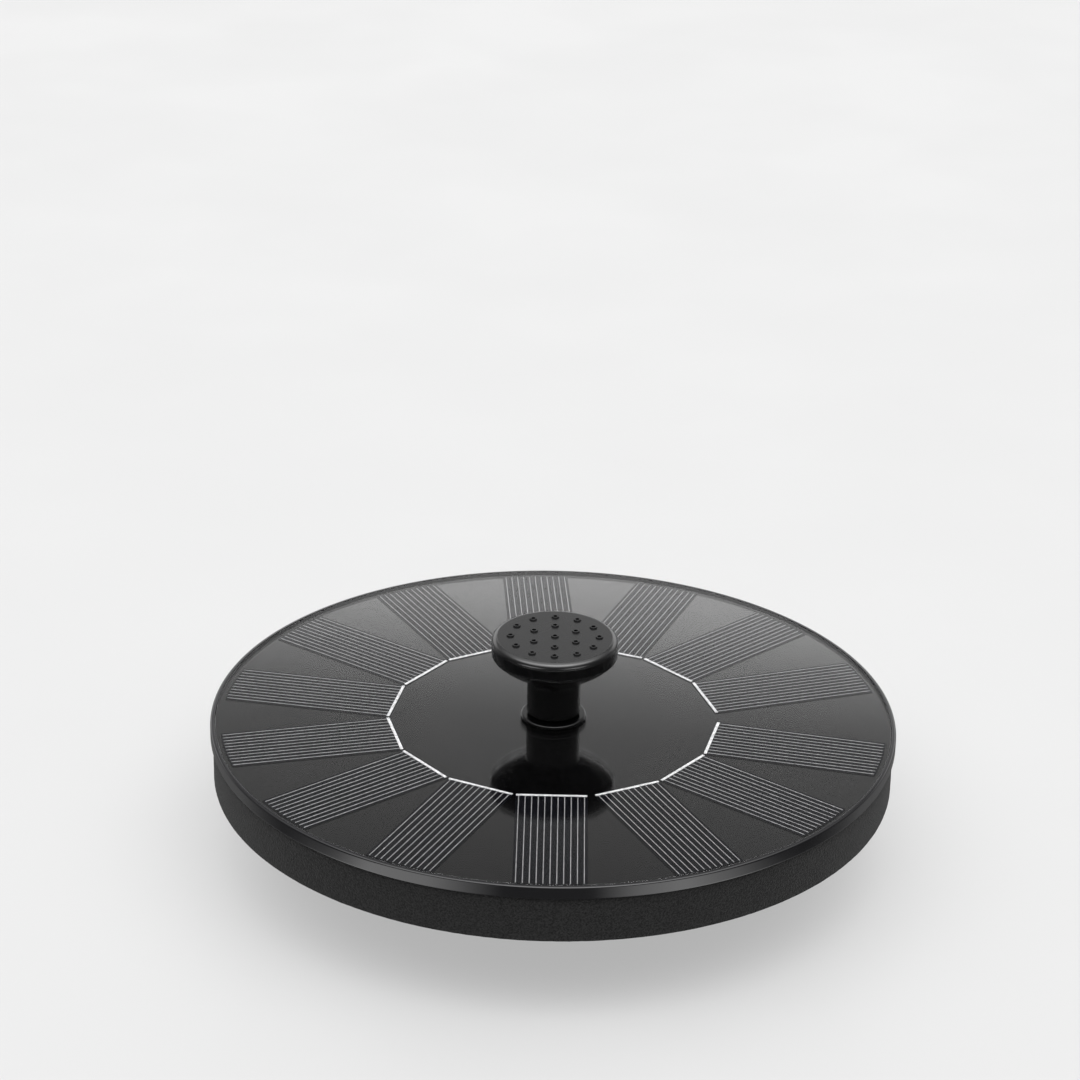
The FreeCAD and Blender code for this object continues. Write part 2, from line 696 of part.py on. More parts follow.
def spray_plate():
    """Snap-in top of the head, with a small raised nub round every jet hole."""
    top = PLATE_Z + PLATE_T
    plate = cyl_z(HEAD_R, PLATE_Z, top)
    plate = round_edges(plate, PLATE_EDGE_R, [(HEAD_R, top, "z")])
    plate = plate.fuse(ring_z(SKIRT_R, SKIRT_IN_R, PLATE_Z - SKIRT_L, PLATE_Z))
    for x, y in jet_points():
        plate = plate.fuse(Part.makeCone(NUB_R, NUB_TOP_R, NUB_H, V(x, y, top), Z_AXIS))
    for x, y in jet_points():
        plate = plate.cut(cyl_z(JET_R, PLATE_Z, top + NUB_H, x, y))
    return plate


def build():
    nodes = {
        "panel_tray": panel_tray(),
        "panel_board": panel_board(),
        "panel_cover": panel_cover(),
        "foam_ring": foam_ring(),
        "centre_collar": centre_collar(),
        "neck_gasket": neck_gasket(),
        "pump_body": pump_body(),
        "chamber_cover": chamber_cover(),
        "chamber_seal": chamber_seal(),
        "pump_screws": pump_screws(),
        "filter_cover": filter_cover(),
        "filter_sponge": filter_sponge(),
        "impeller": impeller(),
        "rotor_magnet": rotor_magnet(),
        "rotor_bush": rotor_bush(),
        "shaft": shaft(),
        "front_bush": front_bush(),
        "rear_bush": rear_bush(),
        "stator_core": stator_core(),
        "stator_coils": stator_coils(),
        "driver_board": driver_board(),
        "hall_sensor": hall_sensor(),
        "board_parts": board_parts(),
        "potting_plug": potting_plug(),
        "lead_wires": lead_wires(),
        "nozzle_bell": nozzle_bell(),
        "nozzle_seal": nozzle_seal(),
        "spray_plate": spray_plate(),
    }
    angles = cell_angles()
    for number, angle in enumerate(angles, start=1):
        nodes[f"solar_cell_{number:02d}"] = towards(solar_cell(), angle)
    nodes["bus_ribbons"] = group([towards(bus_ribbon(), angle) for angle in angles])
    return nodes


os.makedirs("parts", exist_ok=True)
for name, shape in build().items():
    shape.exportStep(f"parts/{name}.step")
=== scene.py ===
import json
import math

import bmesh
import bpy
from mathutils import Matrix, Vector, noise


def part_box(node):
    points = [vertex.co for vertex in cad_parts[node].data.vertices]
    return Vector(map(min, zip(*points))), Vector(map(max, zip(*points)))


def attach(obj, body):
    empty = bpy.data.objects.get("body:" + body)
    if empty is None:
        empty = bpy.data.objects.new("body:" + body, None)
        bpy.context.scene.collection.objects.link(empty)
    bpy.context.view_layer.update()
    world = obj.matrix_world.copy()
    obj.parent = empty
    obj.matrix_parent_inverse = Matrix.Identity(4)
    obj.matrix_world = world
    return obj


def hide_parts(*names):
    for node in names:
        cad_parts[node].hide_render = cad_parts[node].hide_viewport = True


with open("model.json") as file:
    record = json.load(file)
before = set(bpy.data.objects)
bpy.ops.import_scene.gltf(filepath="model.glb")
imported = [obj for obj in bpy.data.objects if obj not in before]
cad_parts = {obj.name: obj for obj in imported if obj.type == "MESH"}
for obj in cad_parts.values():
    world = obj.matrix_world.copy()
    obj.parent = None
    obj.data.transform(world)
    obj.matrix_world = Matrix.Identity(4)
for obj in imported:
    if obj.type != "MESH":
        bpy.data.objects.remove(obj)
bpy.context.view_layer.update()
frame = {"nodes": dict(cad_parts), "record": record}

# The solar fountain pump's looks, in metres and in the frame of the CAD model. Sizes in
# millimetres are written as a number times MM.
MM = 0.001
NODES = frame["nodes"]

# ---- places read from the CAD model ----
TRAY_LOW, TRAY_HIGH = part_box("panel_tray")
BOARD_LOW, BOARD_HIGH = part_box("panel_board")
COVER_LOW, COVER_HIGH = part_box("panel_cover")
FOAM_LOW, FOAM_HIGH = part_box("foam_ring")
COLLAR_LOW, COLLAR_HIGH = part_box("centre_collar")
BELL_LOW, BELL_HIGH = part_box("nozzle_bell")
PLATE_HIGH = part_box("spray_plate")[1]
SCREWS_LOW, SCREWS_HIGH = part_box("pump_screws")
PUMP_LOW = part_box("pump_body")[0]
CELL_NAMES = sorted(name for name in NODES if name.startswith("solar_cell_"))
PANEL_Z = TRAY_HIGH.z
DISC_R = TRAY_HIGH.x

# ---- sizes of the turned pieces ----
RIM_W = 1.0 * MM
RIM_TOP_ROUND = 0.45 * MM
RIM_FOOT_ROUND = 0.5 * MM
CENTRE_HOLE_R = 6.1 * MM
BOSS_R = 3.0 * MM
SCREW_HEAD_R = 2.2 * MM
FOAM_HOLE_R = 42.03 * MM
FOAM_ROUND = 0.5 * MM
FOAM_GRID = 1.0 * MM
FOAM_WAVE = 1.6 * MM
FOAM_GRAIN = 0.7 * MM
FOAM_UNEVEN = 0.04 * MM
GLUED_FACE = 0.01 * MM
PANE_GAP = 0.06 * MM
COLLAR_R = 7.7 * MM
COLLAR_NECK_R = 6.0 * MM
COLLAR_BORE_R = 4.1 * MM
COLLAR_ROUND = 0.5 * MM
INNER_ROUND = 0.2 * MM
CREST_ROUND = 0.12 * MM
FINE_ROUND = 0.1 * MM
BOARD_ROUND = 0.05 * MM
STEM_R = 6.24 * MM
STEM_BORE_R = 4.06 * MM
STEM_FOOT_ROUND = 0.4 * MM
FLARE_START = 9.6 * MM
FLARE_H = 4.5 * MM
SHOULDER_H = 1.8 * MM
SHOULDER_IN = 2.0 * MM
THROAT_R = 3.0 * MM
LEDGE_H = 9.4 * MM
THROAT_L = 1.0 * MM
BELL_WALL = 1.4 * MM
FLARE_ROUND = 0.8 * MM
SHOULDER_ROUND = 3.0 * MM
SIDE_ROUND = 1.6 * MM
STEM_BORE_ROUND = 0.15 * MM
BOWL_SIDE_UP = 0.6 * MM
BOWL_SIDE_ROUND = 0.4 * MM
BOWL_IN = 1.8 * MM
BOWL_UP = 1.0 * MM
BOWL_ROUND = 1.0 * MM
PLATE_ROUND = 1.35 * MM
NUB_H = 0.3 * MM
SKIRT_W = 1.1 * MM
SKIRT_FIT = 0.1 * MM
SKIRT_L = 1.6 * MM
JET_R = 0.5 * MM
NUB_R = 1.0 * MM
NUB_TOP_R = 0.8 * MM
JET_RINGS = ((5.6 * MM, 6), (10.3 * MM, 12))
JOIN_DEPTH = 0.1 * MM
BOSS_JOIN = 0.5 * MM

# ---- how finely round things are divided, and the edges that show as sharp ----
SHARP_ANGLE = 32
WELD = 1e-7
DISC_STEPS = 360
FOAM_STEPS = 560
HEAD_STEPS = 192
COLLAR_STEPS = 128
BOSS_STEPS = 48
NUB_STEPS = 24
JET_STEPS = 20
CELL_STEPS = 18
PLATE_ROUND_STEPS = 10

# ---- the cells' printed lines ----
FINGERS = 11
FINGER_PITCH = 1.48 * MM
FINGER_W = 0.22 * MM
FINGER_TOP_W = 0.14 * MM
FINGER_T = 0.07 * MM
FINGER_END_IN = 0.3 * MM
RIBBON_W = 0.65 * MM


# ---------------- mesh helpers ----------------


def rounded(corners, steps=6):
    """An outline's points from corners of (radius, height, rounding)."""
    points = []
    for k, (r, z, bend) in enumerate(corners):
        corner = Vector((r, z))
        back = (Vector(corners[k - 1][:2]) - corner).normalized()
        on = (Vector(corners[(k + 1) % len(corners)][:2]) - corner).normalized()
        if not bend:
            points.append(corner)
            continue
        half = back.angle(on) / 2
        centre = corner + (back + on).normalized() * bend / math.sin(half)
        start = corner + back * bend / math.tan(half) - centre
        turn = start.angle_signed(corner + on * bend / math.tan(half) - centre)
        for s in range(steps + 1):
            arm = start.copy()
            arm.rotate(Matrix.Rotation(-turn * s / steps, 2))
            points.append(centre + arm)
    return points


def new_mesh(name, bm):
    """A mesh from a bmesh, with its faces turned outwards."""
    mesh = bpy.data.meshes.new(name)
    bmesh.ops.recalc_face_normals(bm, faces=bm.faces)
    bm.to_mesh(mesh)
    bm.free()
    return mesh


def turned(outline, segments):
    """A bmesh turned about Z from a closed outline of (radius, height)."""
    bm = bmesh.new()
    rings = []
    for k in range(segments):
        angle = 2 * math.pi * k / segments
        side, front = math.sin(angle), -math.cos(angle)
        rings.append([bm.verts.new((r * side, r * front, z)) for r, z in outline])
    for k in range(segments):
        here, there = rings[k], rings[(k + 1) % segments]
        for i in range(len(outline)):
            j = (i + 1) % len(outline)
            bm.faces.new((here[i], there[i], there[j], here[j]))
    bmesh.ops.remove_doubles(bm, verts=bm.verts, dist=WELD)
    return bm


def rods(places, radius, low, high, top_radius=None, segments=32):
    """A bmesh of upright rods, or cones, one at each (x, y)."""
    bm = bmesh.new()
    for x, y in places:
        lift = Matrix.Translation((x, y, (low + high) / 2))
        bmesh.ops.create_cone(
            bm,
            cap_ends=True,
            segments=segments,
            radius1=radius,
            radius2=radius if top_radius is None else top_radius,
            depth=high - low,
            matrix=lift,
        )
    return bm


def piece(name, mesh, body, material, replaced=()):
    """Puts a mesh in the scene as a named piece of a body."""
    obj = bpy.data.objects.new(name, mesh)
    bpy.context.scene.collection.objects.link(obj)
    mesh.shade_smooth()
    mesh.set_sharp_from_angle(angle=math.radians(SHARP_ANGLE))
    mesh.materials.clear()
    mesh.materials.append(material)
    normals = obj.modifiers.new("flat faces", "WEIGHTED_NORMAL")
    normals.keep_sharp = True
    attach(obj, body)
    if replaced:
        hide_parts(*replaced)
    return obj


def combined(mesh, tool, operation):
    """The mesh joined with, or cut by, a tool's mesh."""
    holder = bpy.data.objects.new("holder", mesh)
    cutter = bpy.data.objects.new("cutter", new_mesh("cutter", tool))
    for obj in (holder, cutter):
        bpy.context.scene.collection.objects.link(obj)
    modifier = holder.modifiers.new("combine", "BOOLEAN")
    modifier.operation = operation
    modifier.solver = "EXACT"
    modifier.object = cutter
    graph = bpy.context.evaluated_depsgraph_get()
    result = bpy.data.meshes.new_from_object(holder.evaluated_get(graph))
    for obj in (holder, cutter):
        bpy.data.objects.remove(obj)
    return result


# ---------------- materials ----------------

# an uneven gloss has patches this many times as large as the grain
GLOSS_PATCH = 40


def shader(name):
    """A new material, its node tree and its Principled shader."""
    material = bpy.data.materials.new(name)
    material.use_nodes = True
    tree = material.node_tree
    return material, tree, tree.nodes["Principled BSDF"]


def grain(tree, size, detail=3.0):
    """Noise whose features are about size metres across, in the piece's own frame."""
    place = tree.nodes.new("ShaderNodeTexCoord")
    texture = tree.nodes.new("ShaderNodeTexNoise")
    texture.inputs["Scale"].default_value = 1 / size
    texture.inputs["Detail"].default_value = detail
    tree.links.new(place.outputs["Object"], texture.inputs["Vector"])
    return texture.outputs["Fac"]


def between(tree, factor, low, high, start=0.35, end=0.65):
    """A number that runs from low to high as the factor runs from start to end."""
    node = tree.nodes.new("ShaderNodeMapRange")
    node.inputs["From Min"].default_value = start
    node.inputs["From Max"].default_value = end
    node.inputs["To Min"].default_value = low
    node.inputs["To Max"].default_value = high
    tree.links.new(factor, node.inputs["Value"])
    return node.outputs["Result"]


def tinted(tree, factor, dark, light):
    """A colour between dark and light."""
    ramp = tree.nodes.new("ShaderNodeValToRGB")
    ramp.color_ramp.elements[0].position = 0.3
    ramp.color_ramp.elements[0].color = (*dark, 1)
    ramp.color_ramp.elements[1].position = 0.7
    ramp.color_ramp.elements[1].color = (*light, 1)
    tree.links.new(factor, ramp.inputs["Fac"])
    return ramp.outputs["Color"]


def bumped(tree, principled, height, depth):
    """Wires a bump of the given depth to the shader."""
    node = tree.nodes.new("ShaderNodeBump")
    node.inputs["Distance"].default_value = depth
    node.inputs["Strength"].default_value = 1.0
    tree.links.new(height, node.inputs["Height"])
    tree.links.new(node.outputs["Normal"], principled.inputs["Normal"])


def solid(name, colour, rough, metal=0.0, size=0.4 * MM, depth=0.01 * MM, vary=0.15, **more):
    """Moulded, cast or drawn stuff: grained colour, uneven gloss and a fine bump.

    More sockets are given by name, with underscores for spaces.
    """
    material, tree, principled = shader(name)
    fine = grain(tree, size)
    broad = grain(tree, GLOSS_PATCH * size, 2.0)
    dark = [c * (1 - vary) for c in colour]
    light = [c * (1 + vary) for c in colour]
    tree.links.new(tinted(tree, fine, dark, light), principled.inputs["Base Color"])
    gloss = between(tree, broad, rough * 0.85, rough * 1.15)
    tree.links.new(gloss, principled.inputs["Roughness"])
    principled.inputs["Metallic"].default_value = metal
    for socket, value in more.items():
        principled.inputs[socket.replace("_", " ")].default_value = value
    if depth:
        bumped(tree, principled, fine, depth)
    return material


def foam_stuff(name, colour, pore, depth):
    """Closed or open cell foam: pores of two sizes, with painted shade that darkens the colour
    down in the pores, matte with a faint bloom.
    """
    material, tree, principled = shader(name)
    pores = tree.nodes.new("ShaderNodeTexVoronoi")
    pores.inputs["Scale"].default_value = 1 / pore
    place = tree.nodes.new("ShaderNodeTexCoord")
    tree.links.new(place.outputs["Object"], pores.inputs["Vector"])
    fine = grain(tree, pore * 0.8, 2.0)
    # one field gives both the pores' height for the bump and their colour, darker where lower:
    # painted shade in the pores
    pore_height_and_painted_shade = tree.nodes.new("ShaderNodeMath")
    pore_height_and_painted_shade.operation = "MULTIPLY"
    tree.links.new(fine, pore_height_and_painted_shade.inputs[0])
    tree.links.new(between(tree, pores.outputs["Distance"], 0.7, 1.2, 0.1, 0.6), pore_height_and_painted_shade.inputs[1])
    dark = [c * 0.25 for c in colour]
    light = [c * 2.4 for c in colour]
    tree.links.new(tinted(tree, pore_height_and_painted_shade.outputs[0], dark, light), principled.inputs["Base Color"])
    principled.inputs["Roughness"].default_value = 0.95
    principled.inputs["Specular IOR Level"].default_value = 0.2
    principled.inputs["Sheen Weight"].default_value = 0.07
    principled.inputs["Sheen Roughness"].default_value = 0.5
    bumped(tree, principled, pore_height_and_painted_shade.outputs[0], depth)
    return material


def clear_stuff(name):
    """Thin clear resin: all that shows of it is its polish."""
    material, tree, principled = shader(name)
    tree.nodes.remove(principled)
    facing = tree.nodes.new("ShaderNodeLayerWeight")
    facing.inputs["Blend"].default_value = 0.5
    power = tree.nodes.new("ShaderNodeMath")
    power.operation = "POWER"
    power.inputs[1].default_value = 5.0
    tree.links.new(facing.outputs["Facing"], power.inputs[0])
    share = between(tree, power.outputs[0], 0.02, 1.0, 0.0, 1.0)
    clear = tree.nodes.new("ShaderNodeBsdfTransparent")
    gloss = tree.nodes.new("ShaderNodeBsdfGlossy")
    smears = grain(tree, 14 * MM, 4.0)
    tree.links.new(between(tree, smears, 0.03, 0.06), gloss.inputs["Roughness"])
    mix = tree.nodes.new("ShaderNodeMixShader")
    tree.links.new(share, mix.inputs["Fac"])
    tree.links.new(clear.outputs[0], mix.inputs[1])
    tree.links.new(gloss.outputs[0], mix.inputs[2])
    tree.links.new(mix.outputs[0], tree.nodes["Material Output"].inputs["Surface"])
    return material


def make_materials():
    return {
        "tray_plastic": solid("tray_plastic", (0.004, 0.0039, 0.0048), 0.14, depth=0.0005 * MM),
        "board_laminate": solid(
            "board_laminate", (0.0016, 0.0016, 0.0017), 0.05, size=1.5 * MM, depth=0.0, vary=0.3
        ),
        "clear_cover": clear_stuff("clear_cover"),
        "float_foam": foam_stuff("float_foam", (0.0068, 0.0068, 0.0068), 0.45 * MM, 0.25 * MM),
        "head_plastic": solid(
            "head_plastic",
            (0.0011, 0.0011, 0.0012),
            0.16,
            depth=0.0004 * MM,
            Specular_IOR_Level=0.3,
        ),
        "plate_plastic": solid(
            "plate_plastic",
            (0.0045, 0.0045, 0.0047),
            0.25,
            depth=0.0015 * MM,
            Specular_IOR_Level=0.2,
        ),
        "plate_edge": solid(
            "plate_edge",
            (0.003, 0.003, 0.0032),
            0.2,
            depth=0.0005 * MM,
            Specular_IOR_Level=0.75,
        ),
        "pump_plastic": solid("pump_plastic", (0.014, 0.014, 0.015), 0.42, depth=0.01 * MM),
        "filter_plastic": solid("filter_plastic", (0.012, 0.012, 0.013), 0.45, depth=0.01 * MM),
        "seal_rubber": solid("seal_rubber", (0.01, 0.01, 0.01), 0.7, depth=0.02 * MM),
        "bush_rubber": solid("bush_rubber", (0.02, 0.02, 0.02), 0.75, depth=0.02 * MM),
        "screw_steel": solid("screw_steel", (0.55, 0.55, 0.56), 0.3, 1.0, size=0.2 * MM),
        "sponge": foam_stuff("sponge", (0.03, 0.03, 0.03), 0.9 * MM, 0.3 * MM),
        "impeller_plastic": solid("impeller_plastic", (0.62, 0.62, 0.59), 0.45, vary=0.04),
        "ferrite": solid("ferrite", (0.05, 0.05, 0.055), 0.5, size=0.25 * MM, vary=0.3),
        "graphite": solid("graphite", (0.04, 0.04, 0.041), 0.4, size=0.2 * MM, vary=0.3),
        "shaft_ceramic": solid("shaft_ceramic", (0.83, 0.83, 0.8), 0.12, vary=0.02),
        "lamination_steel": solid("lamination_steel", (0.42, 0.43, 0.45), 0.4, 1.0),
        "copper_winding": solid("copper_winding", (0.6, 0.22, 0.08), 0.35, 1.0, vary=0.25),
        "circuit_laminate": solid("circuit_laminate", (0.015, 0.13, 0.05), 0.3),
        "component_plastic": solid("component_plastic", (0.02, 0.02, 0.022), 0.5),
        "potting_resin": solid("potting_resin", (0.008, 0.008, 0.009), 0.18, size=3 * MM),
        "wire_insulation": solid("wire_insulation", (0.02, 0.02, 0.02), 0.5),
        "ribbon_silver": solid(
            "ribbon_silver", (0.6, 0.6, 0.61), 0.4, 0.2, size=0.45 * MM, vary=0.45
        ),
        "finger_silver": solid(
            "finger_silver", (0.23, 0.23, 0.235), 0.5, 0.1, size=0.6 * MM, vary=0.35
        ),
        "solar_cell": solid(
            "solar_cell",
            (0.0035, 0.0037, 0.0048),
            0.4,
            size=1.2 * MM,
            depth=0.0,
            vary=0.35,
            Specular_IOR_Level=0.0,
        ),
    }


def finish_cad_nodes(materials):
    """Gives every CAD node the material of its slot."""
    slots = {part["node"]: part["material_slot"] for part in frame["record"]["subparts"]}
    for name, obj in NODES.items():
        obj.data.materials.clear()
        obj.data.materials.append(materials[slots[name]])


# ---------------- panel ----------------


def tray_shell(material):
    """The dish with its rim, and the four bosses under it."""
    floor_z = FOAM_HIGH.z
    corners = [
        (CENTRE_HOLE_R, floor_z, 0),
        (DISC_R, floor_z, RIM_FOOT_ROUND),
        (DISC_R, PANEL_Z, RIM_TOP_ROUND),
        (DISC_R - RIM_W, PANEL_Z, CREST_ROUND),
        (DISC_R - RIM_W, BOARD_LOW.z, 0),
        (CENTRE_HOLE_R, BOARD_LOW.z, 0),
    ]
    mesh = new_mesh("tray_shell", turned(rounded(corners), DISC_STEPS))
    x = SCREWS_HIGH.x - SCREW_HEAD_R
    ys = (SCREWS_LOW.y + SCREW_HEAD_R, SCREWS_HIGH.y - SCREW_HEAD_R)
    places = [(side * x, y) for side in (-1, 1) for y in ys]
    bosses = rods(places, BOSS_R, TRAY_LOW.z, floor_z + BOSS_JOIN, segments=BOSS_STEPS)
    mesh = combined(mesh, bosses, "UNION")
    piece("tray_shell", mesh, "float", material, ["panel_tray"])


def board_disc(material):
    """The dark board under the cells."""
    corners = [
        (CENTRE_HOLE_R, BOARD_LOW.z, 0),
        (BOARD_HIGH.x, BOARD_LOW.z, 0),
        (BOARD_HIGH.x, BOARD_HIGH.z, BOARD_ROUND),
        (CENTRE_HOLE_R, BOARD_HIGH.z, BOARD_ROUND),
    ]
    mesh = new_mesh("board_disc", turned(rounded(corners, 2), DISC_STEPS))
    piece("board_disc", mesh, "float", material, ["panel_board"])


def clear_pane(material):
    """The clear layer over board and cells, raised a hair off them."""
    bottom = COVER_LOW.z + PANE_GAP
    corners = [
        (CENTRE_HOLE_R, bottom, 0),
        (COVER_HIGH.x, bottom, 0),
        (COVER_HIGH.x, COVER_HIGH.z, INNER_ROUND),
        (CENTRE_HOLE_R, COVER_HIGH.z, FINE_ROUND),
    ]
    mesh = new_mesh("clear_pane", turned(rounded(corners, 4), DISC_STEPS))
    piece("clear_pane", mesh, "float", material, ["panel_cover"])


def cell_frame(name):
    """A cell's direction, inner distance, outer radius, half width, foot and top."""
    points = [v.co for v in NODES[name].data.vertices]
    middle = sum(points, Vector()) / len(points)
    angle = math.atan2(middle.x, -middle.y)
    out = Vector((math.sin(angle), -math.cos(angle), 0))
    across = Vector((math.cos(angle), math.sin(angle), 0))
    inner = min(p.dot(out) for p in points)
    half = max(p.dot(across) for p in points)
    outer = max(math.hypot(p.x, p.y) for p in points)
    low = min(p.z for p in points)
    high = max(p.z for p in points)
    return angle, inner, outer, half, low, high


def strip(bm, angle, edges, inner, outer, low, high, top_in=0.0):
    """A radial strip between two side lines, whose outer end follows the disc."""
    turn = Matrix.Rotation(angle, 3, "Z")
    columns = []
    for k, x in enumerate(edges):
        squeeze = top_in if k == 0 else -top_in if k == len(edges) - 1 else 0.0
        end = -math.sqrt(outer**2 - x**2)
        columns.append(
            [
                bm.verts.new(turn @ Vector((x, -inner, low))),
                bm.verts.new(turn @ Vector((x, end, low))),
                bm.verts.new(turn @ Vector((x + squeeze, end, high))),
                bm.verts.new(turn @ Vector((x + squeeze, -inner, high))),
            ]
        )
    for here, there in zip(columns, columns[1:]):
        for i in range(4):
            j = (i + 1) % 4
            bm.faces.new((here[i], here[j], there[j], there[i]))
    bm.faces.new(columns[0])
    bm.faces.new(columns[-1][::-1])


def solar_cells(material):
    """One strip for each cell, with an end that follows the disc."""
    for name in CELL_NAMES:
        angle, inner, outer, half, low, high = cell_frame(name)
        edges = [half * (2 * k / CELL_STEPS - 1) for k in range(CELL_STEPS + 1)]
        bm = bmesh.new()
        strip(bm, angle, edges, inner, outer, low, high)
        label = name.replace("solar_", "") + "_strip"
        piece(label, new_mesh(label, bm), "float", material, [name])


def finger_lines(material):
    """The printed silver lines on every cell, from its ribbon out to near its end."""
    bm = bmesh.new()
    for name in CELL_NAMES:
        angle, inner, outer, _, _, high = cell_frame(name)
        for k in range(FINGERS):
            x = (k - (FINGERS - 1) / 2) * FINGER_PITCH
            edges = (x - FINGER_W / 2, x + FINGER_W / 2)
            start = inner + RIBBON_W
            squeeze = (FINGER_W - FINGER_TOP_W) / 2
            end = outer - FINGER_END_IN
            strip(bm, angle, edges, start, end, high, high + FINGER_T, squeeze)
    mesh = new_mesh("finger_lines", bm)
    piece("finger_lines", mesh, "float", material)


# ---------------- float ----------------


def subdivided(points, step):
    """The outline's points with its long runs divided."""
    out = []
    for k, here in enumerate(points):
        there = points[(k + 1) % len(points)]
        parts = max(1, round((there - here).length / step))
        out += [here.lerp(there, s / parts) for s in range(parts)]
    return out


def foam_float(material):
    """Cut foam ring: its faces are uneven by a few hundredths of a millimetre."""
    corners = [
        (FOAM_HOLE_R, FOAM_LOW.z, FOAM_ROUND),
        (FOAM_HIGH.x, FOAM_LOW.z, FOAM_ROUND),
        (FOAM_HIGH.x, FOAM_HIGH.z, 0),
        (FOAM_HOLE_R, FOAM_HIGH.z, 0),
    ]
    bm = turned(subdivided(rounded(corners, 3), FOAM_GRID), FOAM_STEPS)
    bmesh.ops.recalc_face_normals(bm, faces=bm.faces)
    bm.normal_update()
    for vert in bm.verts:
        if vert.co.z > FOAM_HIGH.z - GLUED_FACE:
            continue
        rough = noise.noise(vert.co / FOAM_WAVE) * 0.5 + noise.noise(vert.co / FOAM_GRAIN)
        vert.co += vert.normal * (rough * FOAM_UNEVEN - FOAM_UNEVEN)
    mesh = new_mesh("foam_float", bm)
    ring = piece("foam_float", mesh, "float", material, ["foam_ring"])


# ---------------- spray head ----------------


def collar(material):
    """The low flange round the spout, with its neck through the panel."""
    neck_z = COLLAR_LOW.z
    corners = [
        (COLLAR_BORE_R, neck_z, 0),
        (COLLAR_NECK_R, neck_z, INNER_ROUND),
        (COLLAR_NECK_R, PANEL_Z, 0),
        (COLLAR_R, PANEL_Z, FINE_ROUND),
        (COLLAR_R, COLLAR_HIGH.z, COLLAR_ROUND),
        (COLLAR_BORE_R, COLLAR_HIGH.z, INNER_ROUND),
    ]
    mesh = new_mesh("collar_ring", turned(rounded(corners), COLLAR_STEPS))
    piece("collar_ring", mesh, "float", material, ["centre_collar"])


def nozzle_shell(material):
    """The stem and its flared head, open at the top, with the bore for the spout."""
    head_r = PLATE_HIGH.x
    foot = BELL_LOW.z
    flare_z = PANEL_Z + FLARE_START
    shoulder_z = flare_z + FLARE_H
    side_z = shoulder_z + SHOULDER_H
    in_r = head_r - BELL_WALL
    ledge_z = PANEL_Z + LEDGE_H
    corners = [
        (STEM_BORE_R, foot, STEM_BORE_ROUND),
        (STEM_R, foot, STEM_FOOT_ROUND),
        (STEM_R, flare_z, FLARE_ROUND),
        (head_r - SHOULDER_IN, shoulder_z, SHOULDER_ROUND),
        (head_r, side_z, SIDE_ROUND),
        (head_r, BELL_HIGH.z, CREST_ROUND),
        (in_r, BELL_HIGH.z, FINE_ROUND),
        (in_r, side_z + BOWL_SIDE_UP, BOWL_SIDE_ROUND),
        (in_r - BOWL_IN, shoulder_z + BOWL_UP, BOWL_ROUND),
        (THROAT_R, ledge_z + THROAT_L, INNER_ROUND),
        (THROAT_R, ledge_z, FINE_ROUND),
        (STEM_BORE_R, ledge_z, FINE_ROUND),
    ]
    mesh = new_mesh("nozzle_shell", turned(rounded(corners), HEAD_STEPS))
    piece("nozzle_shell", mesh, "nozzle", material, ["nozzle_bell"])


def jet_places():
    """The (x, y) of every jet: one in the middle and two rings."""
    places = [(0.0, 0.0)]
    for radius, count in JET_RINGS:
        for k in range(count):
            turn = 2 * math.pi * k / count
            places.append((radius * math.sin(turn), -radius * math.cos(turn)))
    return places


def spray_top(satin, gloss):
    """The snapped-in top: satin face with a nub round each jet, polished rounded edge."""
    head_r = PLATE_HIGH.x
    low = BELL_HIGH.z
    top = PLATE_HIGH.z - NUB_H
    skirt_r = head_r - BELL_WALL - SKIRT_FIT
    corners = [
        (0, low, 0),
        (skirt_r - SKIRT_W, low, 0),
        (skirt_r - SKIRT_W, low - SKIRT_L, INNER_ROUND),
        (skirt_r, low - SKIRT_L, INNER_ROUND),
        (skirt_r, low, 0),
        (head_r, low, CREST_ROUND),
        (head_r, top, PLATE_ROUND),
        (0, top, 0),
    ]
    mesh = new_mesh("spray_top", turned(rounded(corners, PLATE_ROUND_STEPS), HEAD_STEPS))
    places = jet_places()
    nubs = rods(places, NUB_R, top - JOIN_DEPTH, top + NUB_H, NUB_TOP_R, NUB_STEPS)
    mesh = combined(mesh, nubs, "UNION")
    holes = rods(places, JET_R, low - MM, top + MM, segments=JET_STEPS)
    mesh = combined(mesh, holes, "DIFFERENCE")
    piece("spray_top", mesh, "plate", satin, ["spray_plate"])
    mesh.materials.append(gloss)
    for face in mesh.polygons:
        if math.hypot(face.center.x, face.center.y) > head_r - PLATE_ROUND:
            face.material_index = 1


# ---------------- studio ----------------

FLOOR_HALF = 6.0
KEY_PLACE, KEY_SIZE, KEY_POWER = (0.1, -0.42, 0.95), (0.6, 0.5), 1.5
SKY_STRENGTH = 2.0
BACKDROP_LEAN = -0.04

# grey levels of the surround, as (place, level): by height, by x or by y of the direction
FRONT_DOME = ((0.0, 0.08), (0.3, 0.1), (0.55, 0.3), (0.75, 2.2), (0.93, 2.2), (1.0, 1.2))
SIDE_DOME = ((0.0, 0.10), (0.3, 0.14), (0.6, 0.35), (1.0, 1.0))
BACKDROP = (
    (0.0, 0.45),
    (0.40, 0.90),
    (0.423, 0.86),
    (0.434, 0.70),
    (0.445, 0.44),
    (0.454, 0.29),
    (0.462, 0.20),
    (0.475, 0.18),
    (0.500, 0.12),
    (0.60, 0.15),
    (0.75, 0.5),
    (1.0, 0.6),
)
LOW_CARDS = (
    (-0.90, 0.05),
    (-0.85, 0.3),
    (-0.77, 1.45),
    (-0.56, 1.4),
    (-0.38, 0.6),
    (-0.24, 0.1),
    (0.22, 0.1),
    (0.42, 1.15),
    (0.61, 1.6),
    (0.77, 0.85),
    (0.87, 0.05),
)
LOW_REAR = ((0.0, 0.02), (0.5, 0.2), (0.8, 0.1))

